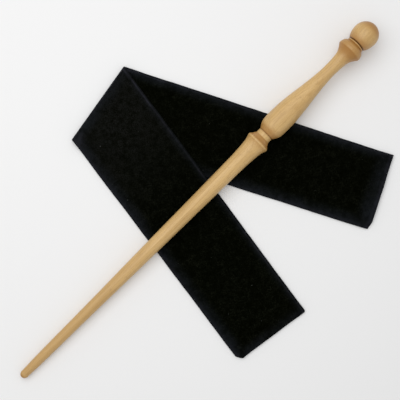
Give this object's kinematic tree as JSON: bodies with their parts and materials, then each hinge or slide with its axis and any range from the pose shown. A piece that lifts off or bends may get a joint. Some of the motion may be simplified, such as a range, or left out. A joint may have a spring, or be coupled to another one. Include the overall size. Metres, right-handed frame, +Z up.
{
  "type": "turned wand with sleeve",
  "caption": "Turned wooden wand with a tapered shaft, bead, bulbous handle and ball pommel, lying across its folded black velvet storage sleeve.",
  "frame": {"origin": "middle of the whole set's footprint, on the table that it lies on", "axes": "+X along the wand from its tip to its ball pommel, +Z up from the table, +Y to the side of the sleeve's crease"},
  "size_m": [0.354, 0.2172, 0.0239],
  "materials": {
    "turned_wood": "satin, fine straight grain",
    "dowel_wood": "bare",
    "velvet": "black velvet pile",
    "sewing_thread": "black sewing thread"
  },
  "bodies": {
    "sleeve": {"lower_bottom_panel": "velvet", "lower_top_panel": "velvet", "lower_fold_edge": "velvet", "lower_side_seam": "sewing_thread", "upper_bottom_panel": "velvet", "upper_top_panel": "velvet", "upper_fold_edge": "velvet", "upper_side_seam": "sewing_thread", "crease_outer_wrap": "velvet", "crease_inner_wrap": "velvet"},
    "mouth_end": {"mouth_bottom_panel": "velvet", "mouth_top_panel": "velvet", "mouth_fold_edge": "velvet", "mouth_side_seam": "sewing_thread", "mouth_hem_bottom_thread": "sewing_thread", "mouth_hem_top_thread": "sewing_thread"},
    "closed_end": {"closed_bottom_panel": "velvet", "closed_top_panel": "velvet", "closed_fold_edge": "velvet", "closed_side_seam": "sewing_thread", "closed_end_seam": "sewing_thread"},
    "wand": {"shaft": "turned_wood", "shaft_dowel": "dowel_wood", "handle": "turned_wood", "pommel_dowel": "dowel_wood", "ball_pommel": "turned_wood"}
  },
  "joints": [
    {"name": "wand_lift", "type": "slide", "parent": "sleeve", "child": "wand", "axis": [0, 0, 1], "range_m": [0, 0.12]},
    {"name": "mouth_end_lift", "type": "hinge", "parent": "sleeve", "child": "mouth_end", "pos_m": [0.045, -0.01035, 0.0019], "axis": [-1, 0, 0], "range_deg": [0, 70]},
    {"name": "closed_end_lift", "type": "hinge", "parent": "sleeve", "child": "closed_end", "pos_m": [-0.015, -0.01035, 0.0019], "axis": [-1, 0, 0], "range_deg": [0, 70]}
  ]
}
